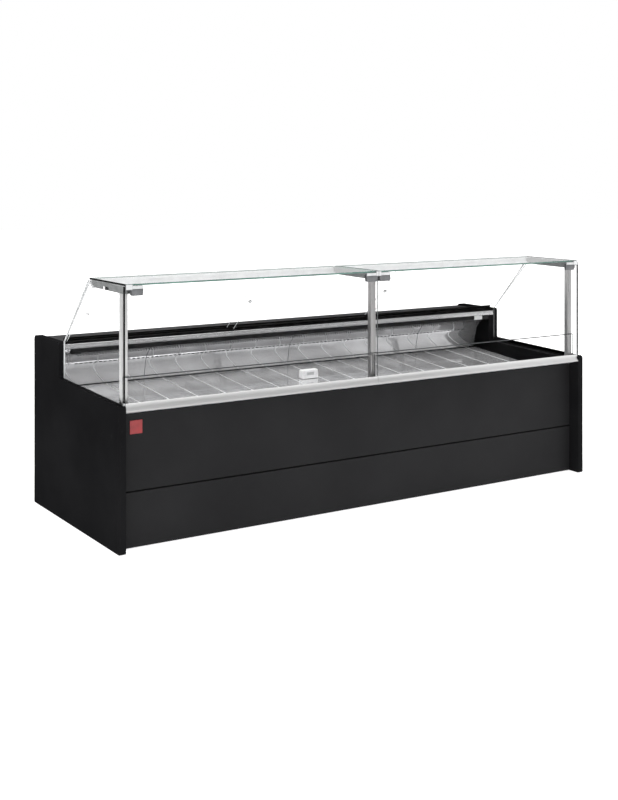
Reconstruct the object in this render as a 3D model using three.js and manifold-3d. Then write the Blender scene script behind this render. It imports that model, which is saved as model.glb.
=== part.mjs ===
// A refrigerated serve-over deli case, three metres long, with straight front glass.
//
// Units are millimetres. X runs along the counter, the customer stands on the -Y side, Z is up.
// The origin is on the floor, under the middle of the case.
// Most outlines are drawn in the side view as [back, height]: back is the distance behind the
// front edge of the side panels, and height is the distance above the floor.

import * as THREE from 'three';
import { mergeVertices } from 'three/addons/utils/BufferGeometryUtils.js';
import Module from 'manifold-3d';

const wasm = await Module();
wasm.setup();

// ---------------------------------------------------------------- driving dimensions

const LENGTH = 3000;
const DEPTH = 1130;
const HEIGHT = 1272;
const CLEARANCE = 0.3;

const PANEL_THICKNESS = 36;
const PANEL_BOTTOM = 4;
const PANEL_FRONT_TOP = 700;
const PANEL_STEP_TOP = 727;
const PANEL_REAR_TOP = 914;
const STEP_BACK = 768;
const INNER_WALL_THICKNESS = 35;
const INNER_WALL_DROP = 20;
const LEFT_WALL_STEP = 925;

const FRONT_PANEL_BACK = 75;
const FRONT_PANEL_GAP_LOW = 270;
const FRONT_PANEL_GAP_HIGH = 278;
const FRONT_PANEL_TOP = 647;
const SHEET = 2;
const SHEET_FOLD = 18;

const TRIM_BOTTOM = 668;
const TRIM_TOP = 709;
const TRIM_DEPTH = 33;
const SILL_BACK = 38;
const SILL_TOP = 666;

const GLASS_SLOT_BACK = 14;
const FRONT_GLASS_THICKNESS = 6;
const FRONT_GLASS_TOP = 1254;
const CLIP_OUTER = { cap: 34, blockFrom: 28, blockTo: 90 };
const CLIP_INNER = { cap: 16, blockFrom: 6, blockTo: 76 };
const TOP_GLASS_THICKNESS = 8;
const TOP_GLASS_FRONT = 12;
const TOP_GLASS_REAR = 447;
const TOP_GLASS_INSET = 39;
const TOP_GLASS_HALF_GAP = 13;
const SIDE_GLASS_THICKNESS = 8;
const SIDE_GLASS_FRONT = 13;
const REBATE_WIDTH = 10;
const REBATE_DEPTH = 15;
const DEFLECTOR_BACK = 43;
const DEFLECTOR_TOP = 830;

const POST_SIZE = 32;
const POST_BACK = 54;
const ARM_FRONT = 28;
const ARM_REAR = 415;
const ARM_BOTTOM = 1224;

const WORKTOP_HEIGHT = 901;
const WORKTOP_THICKNESS = 20;
const NOSE_FRONT = 766;
const NOSE_REAR = 830;
const NOSE_BOTTOM = 873;

const DOOR_WIDTH = 996;
const DOOR_THICKNESS = 5;
const DOOR_PITCH = 12;
const DOOR_TOP = [432, 1238];
const DOOR_BOTTOM = [786, 915];
const DOOR_SPACING = 957;

const TUB_FRONT = 95;
const TUB_REAR = 1010;
const TUB_BOTTOM = 430;
const TUB_WALL = 40;
const DECK_FRONT = 172;
const DECK_REAR = 905;
const DECK_FRONT_HEIGHT = 589;
const DECK_REAR_HEIGHT = 652;

const FRAME_BOTTOM = 70;
const FRAME_TUBE = 40;
const FRAME_RAILS = [140, 580, 1060];
const FRAME_CROSSES = [-1420, -480, 460, 920, 1420];
const FOOT_PLACES = [-1420, 0, 1420];

const CABINET_LEFT = -1395;
const CABINET_RIGHT = 425;
const CABINET_BOTTOM = 116;
const CABINET_TOP = 428;
const CABINET_FRONT = 180;
const CABINET_REAR = 1094;
const CABINET_WALL = 30;
const REAR_SKIN = 1097;
const STORAGE_DOOR_THICKNESS = 28;

// Values that follow from them
const END = LENGTH / 2;
const FRONT = -DEPTH / 2;
const INSIDE = END - PANEL_THICKNESS - CLEARANCE;
const LINER = INSIDE - INNER_WALL_THICKNESS;
const GLASS_UNDERSIDE = HEIGHT - TOP_GLASS_THICKNESS;
const FRAME_TOP = FRAME_BOTTOM + FRAME_TUBE;
const POST_INSET = INSIDE - POST_SIZE / 2 - 1;

const panelTop = (back) => PANEL_FRONT_TOP + (PANEL_STEP_TOP - PANEL_FRONT_TOP) * back / STEP_BACK;

// ---------------------------------------------------------------- materials

const finish = (color, roughness, metalness) => ({ color, roughness, metalness });
const BLACK_PANEL = finish(0x202122, 0.5, 0.1);
const CHARCOAL_PANEL = finish(0x2f3032, 0.45, 0.2);
const BLACK_PLASTIC = finish(0x1c1c1d, 0.55, 0);
const GREY_PLASTIC = finish(0x8c8c8c, 0.5, 0);
const STAINLESS = finish(0xc3c5c8, 0.25, 1);
const POLISHED = finish(0xdfe2e6, 0.12, 1);
const ALUMINIUM = finish(0xb4b6b9, 0.35, 1);
const DARK_TOP = finish(0x46484b, 0.3, 0.4);
const FOAM_SHELL = finish(0xcfd1d3, 0.5, 0.4);
const GALVANISED = finish(0x9fa3a7, 0.5, 0.9);
const COIL_FINS = finish(0xa9aaad, 0.4, 0.9);
const CASTING_BLACK = finish(0x151515, 0.45, 0.4);
const CLEAR = finish(0xdcebe6, 0.05, 0);

// ---------------------------------------------------------------- shape helpers

// An outline of [x, y, radius] corners: a radius cuts the corner back and rounds it.
function roundedShape(corners) {
  const shape = new THREE.Shape();
  corners.forEach(([x, y, radius = 0], i) => {
    const corner = new THREE.Vector2(x, y);
    const before = new THREE.Vector2(...corners.at(i - 1).slice(0, 2));
    const after = new THREE.Vector2(...corners[(i + 1) % corners.length].slice(0, 2));
    const enter = corner.clone().lerp(before, radius / corner.distanceTo(before));
    const leave = corner.clone().lerp(after, radius / corner.distanceTo(after));
    if (i === 0) shape.moveTo(enter.x, enter.y);
    else shape.lineTo(enter.x, enter.y);
    if (radius > 0) shape.quadraticCurveTo(x, y, leave.x, leave.y);
  });
  shape.closePath();
  return shape;
}

function extruded(corners, depth) {
  const options = { depth, bevelEnabled: false, curveSegments: 4 };
  return new THREE.ExtrudeGeometry(roundedShape(corners), options);
}

// A side-view outline of [back, height] corners, swept along the counter from x0 to x1.
function alongX(corners, x0, x1) {
  const geometry = extruded(corners, x1 - x0);
  geometry.rotateX(Math.PI / 2);
  geometry.rotateZ(Math.PI / 2);
  geometry.translate(x0, FRONT, 0);
  return geometry;
}

// A front-view outline of [x, height] corners, swept from back0 to back1.
function alongY(corners, back0, back1) {
  const geometry = extruded(corners, back1 - back0);
  geometry.rotateX(Math.PI / 2);
  geometry.translate(0, FRONT + back1, 0);
  return geometry;
}

function block(x0, x1, back0, back1, z0, z1) {
  const geometry = new THREE.BoxGeometry(x1 - x0, back1 - back0, z1 - z0);
  geometry.translate((x0 + x1) / 2, FRONT + (back0 + back1) / 2, (z0 + z1) / 2);
  return geometry;
}

// A round piece turned about a vertical axis, from [radius, height] points.
function turned(points, segments = 20) {
  const profile = points.map(([radius, height]) => new THREE.Vector2(radius, height));
  const geometry = new THREE.LatheGeometry(profile, segments);
  geometry.rotateX(Math.PI / 2);
  return geometry;
}

// The same, lying along Y: its [radius, height] heights run towards the rear.
function turnedAlongY(points, x, back, z, segments = 20) {
  const geometry = turned(points, segments);
  geometry.rotateX(-Math.PI / 2);
  geometry.translate(x, FRONT + back, z);
  return geometry;
}

const disc = (radius, length) => [[0, 0], [radius, 0], [radius, length], [0, length]];

function toSolid(geometry) {
  const bare = geometry.clone();
  bare.deleteAttribute('normal');
  bare.deleteAttribute('uv');
  const merged = mergeVertices(bare, 1e-4);
  const vertProperties = merged.attributes.position.array;
  const triVerts = new Uint32Array(merged.index.array);
  return new wasm.Manifold(new wasm.Mesh({ numProp: 3, vertProperties, triVerts }));
}

function toGeometry(solid) {
  const mesh = solid.getMesh();
  const geometry = new THREE.BufferGeometry();
  geometry.setAttribute('position', new THREE.BufferAttribute(mesh.vertProperties, 3));
  geometry.setIndex(new THREE.BufferAttribute(mesh.triVerts, 1));
  geometry.computeVertexNormals();
  return geometry;
}

function join(...pieces) {
  return toGeometry(pieces.map(toSolid).reduce((whole, piece) => whole.add(piece)));
}

function cut(body, ...tools) {
  return toGeometry(tools.map(toSolid).reduce((rest, tool) => rest.subtract(tool), toSolid(body)));
}

const deliCase = new THREE.Group();

function add(name, geometry, look) {
  const clear = look === CLEAR;
  const options = { ...look, transparent: clear, opacity: clear ? 0.35 : 1 };
  const material = new THREE.MeshStandardMaterial(options);
  const mesh = new THREE.Mesh(geometry, material);
  mesh.name = name;
  deliCase.add(mesh);
  return mesh;
}

// Mirrors a left-hand range [x0, x1] to the chosen side: -1 is left, 1 is right.
const onSide = (side, x0, x1) => (side < 0 ? [x0, x1] : [-x1, -x0]);
const SIDES = [['left', -1], ['right', 1]];

// ---------------------------------------------------------------- base

function baseFrame() {
  const half = FRAME_TUBE / 2;
  const rails = FRAME_RAILS.map((back) =>
    block(-1440, 1440, back - half, back + half, FRAME_BOTTOM, FRAME_TOP));
  const first = FRAME_RAILS[0] - half;
  const last = FRAME_RAILS.at(-1) + half;
  const crosses = FRAME_CROSSES.map((x) => block(x - half, x + half, first, last, FRAME_BOTTOM, FRAME_TOP));
  add('base_frame', join(...rails, ...crosses), GALVANISED);
}

function feet() {
  const stemTop = FRAME_BOTTOM - CLEARANCE;
  const profile = [
    [0, 0], [30, 0], [32, 3], [32, 8], [14, 15], [8, 17], [8, stemTop], [0, stemTop],
  ];
  for (const [row, back] of [['front', FRAME_RAILS[0]], ['rear', FRAME_RAILS.at(-1)]]) {
    FOOT_PLACES.forEach((x, i) => {
      const foot = add(`foot_${row}_${['left', 'middle', 'right'][i]}`, turned(profile, 16), BLACK_PLASTIC);
      foot.position.set(x, FRONT + back, 0);
    });
  }
}

// ---------------------------------------------------------------- outer casing

// Each side panel steps up behind the glass, and a rebate along its top holds the side glass.
function sidePanels() {
  const outline = [
    [0, PANEL_BOTTOM, 4],
    [DEPTH, PANEL_BOTTOM, 4],
    [DEPTH, PANEL_REAR_TOP, 28],
    [STEP_BACK, PANEL_REAR_TOP, 14],
    [STEP_BACK, PANEL_STEP_TOP, 10],
    [0, PANEL_FRONT_TOP, 16],
  ];
  const rebate = [
    [SIDE_GLASS_FRONT - 1, panelTop(0) - REBATE_DEPTH],
    [STEP_BACK - 2, panelTop(STEP_BACK) - REBATE_DEPTH],
    [STEP_BACK - 2, panelTop(STEP_BACK) + 30],
    [SIDE_GLASS_FRONT - 1, panelTop(0) + 30],
  ];
  for (const [name, side] of SIDES) {
    const panel = alongX(outline, ...onSide(side, -END, -END + PANEL_THICKNESS));
    const inner = -END + PANEL_THICKNESS;
    const groove = alongX(rebate, ...onSide(side, inner - REBATE_WIDTH, inner + 5));
    add(`side_panel_${name}`, cut(panel, groove), BLACK_PANEL);
  }
}

// Black walls line the display space. On the left the back wall passes over the low part of its
// inner wall, so that one steps up further back than the right one does.
function innerWalls() {
  const front = TUB_FRONT + TUB_WALL + 1;
  const rear = TUB_REAR - TUB_WALL - 2;
  const low = TUB_BOTTOM + TUB_WALL + 1;
  for (const [name, side] of SIDES) {
    const stepAt = side < 0 ? LEFT_WALL_STEP : STEP_BACK;
    const outline = [
      [front, low],
      [rear, low],
      [rear, NOSE_BOTTOM - 1],
      [stepAt, NOSE_BOTTOM - 1],
      [stepAt, panelTop(STEP_BACK) - INNER_WALL_DROP, 6],
      [front, panelTop(front) - INNER_WALL_DROP, 6],
    ];
    add(`inner_wall_${name}`, alongX(outline, ...onSide(side, -INSIDE, -LINER)), BLACK_PLASTIC);
  }
}

// A sheet folded back along its top and bottom edges.
function foldedSheet(face, low, high, fold) {
  const inner = face + Math.sign(fold) * SHEET;
  const outline = [
    [face, low],
    [face, high],
    [face + fold, high],
    [face + fold, high - SHEET],
    [inner, high - SHEET],
    [inner, low + SHEET],
    [face + fold, low + SHEET],
    [face + fold, low],
  ];
  return fold > 0 ? outline.reverse() : outline;
}

function frontPanels() {
  const upper = foldedSheet(FRONT_PANEL_BACK, FRONT_PANEL_GAP_HIGH, FRONT_PANEL_TOP, SHEET_FOLD);
  const lower = foldedSheet(FRONT_PANEL_BACK, PANEL_BOTTOM + 2, FRONT_PANEL_GAP_LOW, SHEET_FOLD);
  add('front_panel_upper', alongX(upper, -INSIDE, INSIDE), CHARCOAL_PANEL);
  add('front_panel_lower', alongX(lower, -INSIDE, INSIDE), CHARCOAL_PANEL);
}

// ---------------------------------------------------------------- refrigerated tub

// A foamed trough. Its front wall carries the sill that the posts and the low glass stand on.
function insulatedTub() {
  const outline = [
    [SILL_BACK, SILL_TOP - 6],
    [FRONT_PANEL_BACK, SILL_TOP - 16],
    [TUB_FRONT, SILL_TOP - 18],
    [TUB_FRONT, TUB_BOTTOM],
    [TUB_REAR, TUB_BOTTOM],
    [TUB_REAR, NOSE_BOTTOM - 1],
    [TUB_REAR - TUB_WALL, NOSE_BOTTOM - 1],
    [TUB_REAR - TUB_WALL, TUB_BOTTOM + TUB_WALL],
    [TUB_FRONT + TUB_WALL, TUB_BOTTOM + TUB_WALL],
    [TUB_FRONT + TUB_WALL, SILL_TOP],
    [SILL_BACK, SILL_TOP],
  ];
  add('insulated_tub', alongX(outline, -INSIDE, INSIDE), FOAM_SHELL);
}

// The display deck slopes down towards the customer. Each half lifts out.
function displayDeck() {
  const lip = 24;
  const outline = [
    [DECK_FRONT, DECK_FRONT_HEIGHT - lip],
    [DECK_FRONT + SHEET, DECK_FRONT_HEIGHT - lip],
    [DECK_FRONT + SHEET, DECK_FRONT_HEIGHT - SHEET],
    [DECK_REAR, DECK_REAR_HEIGHT - SHEET],
    [DECK_REAR, DECK_REAR_HEIGHT],
    [DECK_FRONT, DECK_FRONT_HEIGHT],
  ];
  for (const [name, side] of SIDES) {
    add(`display_deck_${name}`, alongX(outline, ...onSide(side, -LINER + 1, -0.5)), STAINLESS);
  }
}

// The return-air grille fills the strip between the tub's front wall and the deck.
function frontGrille() {
  const count = 20;
  const width = 2 * LINER - 2;
  const pitch = width / count;
  const body = block(-LINER + 1, LINER - 1, TUB_FRONT + TUB_WALL + 1, DECK_FRONT - 1, 577, 587);
  const slots = Array.from({ length: count }, (_, i) => {
    const centre = -width / 2 + pitch * (i + 0.5);
    return block(centre - pitch * 0.4, centre + pitch * 0.4, 144, 162, 570, 595);
  });
  add('front_grille', cut(body, ...slots), BLACK_PLASTIC);
}

// The back wall hangs from under the worktop's nose, behind the lamp, and curves down to the rear
// of the deck. Its left end reaches over the low part of the inner wall to the side panel.
function backWall() {
  const middle = new THREE.SplineCurve([
    new THREE.Vector2(800, 871),
    new THREE.Vector2(814, 851),
    new THREE.Vector2(838, 835),
    new THREE.Vector2(868, 803),
    new THREE.Vector2(890, 777),
    new THREE.Vector2(900, 742),
    new THREE.Vector2(908, 703),
    new THREE.Vector2(916, 656),
  ]);
  const steps = 14;
  const face = [];
  const rear = [];
  for (let i = 0; i <= steps; i += 1) {
    const point = middle.getPoint(i / steps);
    const tangent = middle.getTangent(i / steps);
    face.push([point.x + tangent.y * SHEET / 2, point.y - tangent.x * SHEET / 2]);
    rear.unshift([point.x - tangent.y * SHEET / 2, point.y + tangent.x * SHEET / 2]);
  }
  const wall = alongX([...face, ...rear], -INSIDE + 1, LINER - 1);
  const wallStep = panelTop(STEP_BACK) - INNER_WALL_DROP;
  const notch = block(-END, -LINER + 1, NOSE_FRONT, TUB_REAR, TUB_BOTTOM, wallStep + 2);
  add('back_wall', cut(wall, notch), POLISHED);
}

// The lamp is fixed straight under the nose.
function displayLamp() {
  const front = NOSE_FRONT + 5;
  const rear = front + 22;
  const top = NOSE_BOTTOM - CLEARANCE;
  const low = top - 24;
  const outline = [[front, low, 4], [rear, low, 4], [rear, top, 2], [front, top, 2]];
  add('display_lamp', alongX(outline, -LINER + 20, LINER - 20), BLACK_PLASTIC);
}

// ---------------------------------------------------------------- worktop and rear casing

function worktop() {
  const nose = [
    [NOSE_FRONT, NOSE_BOTTOM, 3],
    [NOSE_REAR, NOSE_BOTTOM],
    [NOSE_REAR, WORKTOP_HEIGHT],
    [NOSE_FRONT, WORKTOP_HEIGHT, 9],
  ];
  add('worktop_nose', alongX(nose, -INSIDE, INSIDE), POLISHED);
  const slabFront = NOSE_REAR + CLEARANCE;
  const slab = [
    [slabFront, WORKTOP_HEIGHT - WORKTOP_THICKNESS],
    [DEPTH, WORKTOP_HEIGHT - WORKTOP_THICKNESS, 3],
    [DEPTH, WORKTOP_HEIGHT, 4],
    [slabFront, WORKTOP_HEIGHT],
  ];
  add('worktop', alongX(slab, -INSIDE, INSIDE), DARK_TOP);
}

function rearCasing() {
  const face = REAR_SKIN + 15;
  const sheet = foldedSheet(face, CABINET_TOP + 4, WORKTOP_HEIGHT - WORKTOP_THICKNESS - 2, -SHEET_FOLD);
  add('rear_panel', alongX(sheet, -INSIDE, INSIDE), BLACK_PANEL);

  const left = CABINET_RIGHT + 6;
  const right = INSIDE - 1;
  const rows = 9;
  const slots = [];
  for (let row = 0; row < rows; row += 1) {
    const z = 150 + row * 28;
    for (const centre of [left + (right - left) * 0.27, left + (right - left) * 0.73]) {
      slots.push(block(centre - 215, centre + 215, REAR_SKIN, REAR_SKIN + 20, z, z + 12));
    }
  }
  const grille = block(left, right, REAR_SKIN + 6, REAR_SKIN + 10, CABINET_BOTTOM + 2, CABINET_TOP - 2);
  add('machine_grille', cut(grille, ...slots), BLACK_PANEL);
}

function controls() {
  const x0 = 760;
  const x1 = 1120;
  const face = REAR_SKIN + 15 + CLEARANCE;
  const buttonX = x1 - 40;
  const buttonZ = 740;
  const panel = block(x0, x1, face, face + 12, buttonZ - 50, buttonZ + 50);
  const hole = turnedAlongY(disc(11, 30), buttonX, face - 5, buttonZ);
  add('control_panel', cut(panel, hole), BLACK_PLASTIC);
  const cap = [[0, 0], [10.5, 0], [10.5, 11], [9, 12.5], [0, 12.5]];
  add('power_button', turnedAlongY(cap, buttonX, face + 4, buttonZ), GREY_PLASTIC);

  const gland = [[0, 0], [16, 0], [16, 8], [13, 10], [13, 20], [7, 28], [0, 28]];
  const frameRear = FRAME_RAILS.at(-1) + FRAME_TUBE / 2;
  add('cable_gland', turnedAlongY(gland, 1300, frameRear + CLEARANCE, 90, 12), BLACK_PLASTIC);
}

// ---------------------------------------------------------------- chilled storage below the tub

function storage() {
  const shell = block(
    CABINET_LEFT, CABINET_RIGHT, CABINET_FRONT, CABINET_REAR, CABINET_BOTTOM, CABINET_TOP,
  );
  const hollow = block(
    CABINET_LEFT + CABINET_WALL, CABINET_RIGHT - CABINET_WALL,
    CABINET_FRONT + CABINET_WALL, CABINET_REAR + 20,
    CABINET_BOTTOM + CABINET_WALL, CABINET_TOP - CABINET_WALL,
  );
  add('storage_cabinet', cut(shell, hollow), FOAM_SHELL);

  const centre = (CABINET_LEFT + CABINET_RIGHT) / 2;
  const low = CABINET_BOTTOM + 2;
  const high = CABINET_TOP - 2;
  const rear = REAR_SKIN + STORAGE_DOOR_THICKNESS;
  const left = block(CABINET_LEFT, centre - 2, REAR_SKIN, rear, low, high);
  const right = block(centre + 2, CABINET_RIGHT, REAR_SKIN, rear, low, high);
  const pull = (x0, x1) => block(x0, x1, rear - 18, rear + 5, high - 22, high + 5);
  add('storage_door_left', cut(left, pull(centre - 220, centre - 60)), BLACK_PANEL);
  add('storage_door_right', cut(right, pull(centre + 60, centre + 220)), BLACK_PANEL);
}

// ---------------------------------------------------------------- refrigeration

// A hub with pitched blades, turning about Y and centred on its own origin.
function fanRotor(radius, hubRadius, depth, bladeCount) {
  const end = depth / 2;
  const hub = turned([[0, -end], [hubRadius, -end], [hubRadius, end], [0, end]], 16);
  const reach = radius - hubRadius + 4;
  const blades = Array.from({ length: bladeCount }, (_, i) => {
    const blade = new THREE.BoxGeometry(reach, hubRadius * 1.5, 2.5);
    blade.rotateX(THREE.MathUtils.degToRad(28));
    blade.translate(hubRadius - 4 + reach / 2, 0, 0);
    blade.rotateZ(i * 2 * Math.PI / bladeCount);
    return blade;
  });
  const rotor = join(hub, ...blades);
  rotor.rotateX(-Math.PI / 2);
  return rotor;
}

function evaporator() {
  const front = 384;
  const low = TUB_BOTTOM + TUB_WALL + 1;
  const high = 598;
  const centreZ = (low + high) / 2;
  const fanRadius = 56;
  const fanBack = front + 20;
  const fans = [['left', -850], ['right', -350]];
  const coil = block(-1100, -100, front, 640, low, high);
  const pockets = fans.map(([, x]) => turnedAlongY(disc(fanRadius + 4, 41), x, front - 1, centreZ, 24));
  add('evaporator', cut(coil, ...pockets), COIL_FINS);
  for (const [name, x] of fans) {
    const fan = add(`evaporator_fan_${name}`, fanRotor(fanRadius, 18, 20, 5), BLACK_PLASTIC);
    fan.position.set(x, FRONT + fanBack, centreZ);
  }
}

function condensingUnit() {
  const low = FRAME_TOP + CLEARANCE;
  const plate = block(450, 880, 560, 860, low, low + 6);
  const can = turned([
    [0, 0], [70, 0], [100, 22], [105, 45], [105, 150], [108, 156], [108, 164], [105, 170],
    [103, 215], [80, 245], [45, 256], [0, 260],
  ]);
  can.translate(665, FRONT + 710, low + 4);
  add('compressor', join(plate, can), CASTING_BLACK);

  const fanX = 1165;
  const fanZ = 265;
  const fanRadius = 127;
  const shroudFront = 920;
  const body = block(920, 1410, shroudFront, 1060, low, 420);
  const pocket = turnedAlongY(disc(fanRadius + 6, 51), fanX, shroudFront - 1, fanZ, 28);
  add('condenser', cut(body, pocket), COIL_FINS);
  const fan = add('condenser_fan', fanRotor(fanRadius, 38, 26, 5), CASTING_BLACK);
  fan.position.set(fanX, FRONT + shroudFront + 26, fanZ);

  const tray = block(905, 1430, 300, 600, low, low + 45);
  const well = block(909, 1426, 304, 596, low + 4, low + 60);
  add('condensate_tray', cut(tray, well), GALVANISED);
}

// ---------------------------------------------------------------- upper frame

const POSTS = [['left', -POST_INSET], ['middle', 0], ['right', POST_INSET]];

function posts() {
  const half = POST_SIZE / 2;
  const corner = 4;
  for (const [name, x] of POSTS) {
    const section = [
      [-half, -half, corner], [half, -half, corner], [half, half, corner], [-half, half, corner],
    ];
    const low = SILL_TOP + CLEARANCE;
    const post = extruded(section, ARM_BOTTOM - CLEARANCE - low);
    const mesh = add(`post_${name}`, post, ALUMINIUM);
    mesh.position.set(x, FRONT + POST_BACK + half, low);
  }
}

// Each arm reaches back from its post. The middle one has a rib between the two top glasses.
function topArms() {
  const top = GLASS_UNDERSIDE - CLEARANCE;
  const outline = [
    [ARM_FRONT, ARM_BOTTOM, 3],
    [ARM_REAR - 30, ARM_BOTTOM + 4, 6],
    [ARM_REAR, ARM_BOTTOM + 20, 3],
    [ARM_REAR, top],
    [ARM_FRONT, top],
  ];
  const ribSide = TOP_GLASS_HALF_GAP - 1;
  const rib = block(-ribSide, ribSide, ARM_FRONT, ARM_REAR, top - 5, HEIGHT - 2);
  for (const [name, x] of POSTS) {
    const arm = alongX(outline, x - POST_SIZE / 2, x + POST_SIZE / 2);
    add(`top_arm_${name}`, name === 'middle' ? join(arm, rib) : arm, ALUMINIUM);
  }
}

function fixedGlass() {
  const sideOutline = [
    [SIDE_GLASS_FRONT, panelTop(0) - REBATE_DEPTH + 1],
    [STEP_BACK - 3, panelTop(STEP_BACK) - REBATE_DEPTH + CLEARANCE],
    [STEP_BACK - 3, 917],
    [438, GLASS_UNDERSIDE - 2, 4],
    [SIDE_GLASS_FRONT, GLASS_UNDERSIDE - 2],
  ];
  const sideOuter = -END + PANEL_THICKNESS - REBATE_WIDTH + 0.5;
  for (const [name, side] of SIDES) {
    const top = block(
      ...onSide(side, -END + TOP_GLASS_INSET, -TOP_GLASS_HALF_GAP),
      TOP_GLASS_FRONT, TOP_GLASS_REAR, GLASS_UNDERSIDE, HEIGHT,
    );
    add(`top_glass_${name}`, top, CLEAR);
    const sideGlass = alongX(sideOutline, ...onSide(side, sideOuter, sideOuter + SIDE_GLASS_THICKNESS));
    add(`side_glass_${name}`, sideGlass, CLEAR);
    const [x0, x1] = onSide(side, -INSIDE + 1, -1.5);
    const low = SILL_TOP + 0.6;
    const plate = [[x0, low], [x1, low], [x1, DEFLECTOR_TOP, 8], [x0, DEFLECTOR_TOP, 8]];
    add(`deflector_glass_${name}`, alongY(plate, DEFLECTOR_BACK, DEFLECTOR_BACK + 6), CLEAR);
  }
}

// ---------------------------------------------------------------- tilting front windows

// One window is a pane set in a bottom profile, with a clip near each end of its top edge.
function frontWindow(name, side) {
  const paneFront = GLASS_SLOT_BACK;
  const paneBack = GLASS_SLOT_BACK + FRONT_GLASS_THICKNESS;
  const [x0, x1] = onSide(side, -INSIDE + 0.6, -0.8);
  const slotFloor = 684;
  const profile = [
    [0, TRIM_BOTTOM + 2, 1],
    [3, TRIM_BOTTOM],
    [TRIM_DEPTH, TRIM_BOTTOM],
    [TRIM_DEPTH, 690, 2],
    [paneBack + 3, 700],
    [paneBack + 3, TRIM_TOP - 3, 1],
    [paneBack + CLEARANCE, TRIM_TOP - 3],
    [paneBack + CLEARANCE, slotFloor],
    [paneFront - CLEARANCE, slotFloor],
    [paneFront - CLEARANCE, TRIM_TOP],
    [paneFront - 4, TRIM_TOP, 1.5],
    [paneFront - 4, 689],
  ];
  add(`front_trim_${name}`, alongX(profile, x0, x1), ALUMINIUM);
  const pane = block(x0, x1, paneFront, paneBack, slotFloor + CLEARANCE, FRONT_GLASS_TOP);
  add(`front_glass_${name}`, pane, CLEAR);

  const outer = glassClip(side < 0 ? x0 : x1, -side, CLIP_OUTER);
  const inner = glassClip(side < 0 ? x1 : x0, side, CLIP_INNER);
  add(`glass_clip_${name}_outer`, outer, GREY_PLASTIC);
  add(`glass_clip_${name}_inner`, inner, GREY_PLASTIC);
}

// A clip at one corner of a pane: a strip along the pane's top edge, a block gripping both faces
// below it, and a cap over the corner of the top glass. edge is the pane's end, and towards is the
// way from there to the middle of the pane.
function glassClip(edge, towards, { cap, blockFrom, blockTo }) {
  const clipFront = 4;
  const clipBack = 26;
  const stripLow = 1242;
  const stripHigh = GLASS_UNDERSIDE - 2;
  const blockLow = 1216;
  const across = (u0, u1) => [edge + towards * u0, edge + towards * u1].sort((a, b) => a - b);
  const [s0, s1] = across(0, blockTo);
  const [c0, c1] = across(0, cap);
  const [b0, b1] = across(blockFrom, blockTo);
  const grip = [[b0 + 3, blockLow, 2], [b1 - 3, blockLow, 2], [b1, stripLow + 2], [b0, stripLow + 2]];
  const body = join(
    block(s0, s1, clipFront + 2, clipBack, stripLow, stripHigh),
    block(c0, c1, clipFront, TOP_GLASS_FRONT - CLEARANCE, stripLow, HEIGHT - 2),
    alongY(grip, clipFront, clipBack),
  );
  const slotFront = GLASS_SLOT_BACK - CLEARANCE;
  const slotBack = GLASS_SLOT_BACK + FRONT_GLASS_THICKNESS + CLEARANCE;
  const slotTop = FRONT_GLASS_TOP + CLEARANCE;
  return cut(body, block(s0 - 5, s1 + 5, slotFront, slotBack, blockLow - 10, slotTop));
}

// ---------------------------------------------------------------- sloping rear doors

function rearDoors() {
  const [topBack, topHeight] = DOOR_TOP;
  const [bottomBack, bottomHeight] = DOOR_BOTTOM;
  const slope = Math.hypot(bottomBack - topBack, topHeight - bottomHeight);
  const lean = Math.atan2(bottomBack - topBack, topHeight - bottomHeight);
  const middleBack = (topBack + bottomBack) / 2;
  const middleHeight = (topHeight + bottomHeight) / 2;
  ['left', 'middle', 'right'].forEach((name, i) => {
    const lane = (i - 1) * DOOR_PITCH;
    const pane = new THREE.BoxGeometry(DOOR_WIDTH, DOOR_THICKNESS, slope);
    const door = add(`rear_door_${name}`, pane, CLEAR);
    door.rotation.x = lean;
    const back = middleBack + lane * Math.cos(lean);
    door.position.set((i - 1) * DOOR_SPACING, FRONT + back, middleHeight + lane * Math.sin(lean));
  });
  const trackSide = INSIDE - 2;
  const trackTop = GLASS_UNDERSIDE - CLEARANCE;
  const track = block(-trackSide, trackSide, ARM_REAR + 1, TOP_GLASS_REAR, trackTop - 9, trackTop);
  add('door_top_track', track, GREY_PLASTIC);
}

// ---------------------------------------------------------------- assembly

baseFrame();
feet();
sidePanels();
innerWalls();
frontPanels();
insulatedTub();
displayDeck();
frontGrille();
backWall();
displayLamp();
worktop();
rearCasing();
controls();
storage();
evaporator();
condensingUnit();
posts();
topArms();
fixedGlass();
for (const [name, side] of SIDES) frontWindow(name, side);
rearDoors();

export default deliCase;
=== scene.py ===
import math

import bmesh
import bpy
from mathutils import Matrix, Vector


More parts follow.
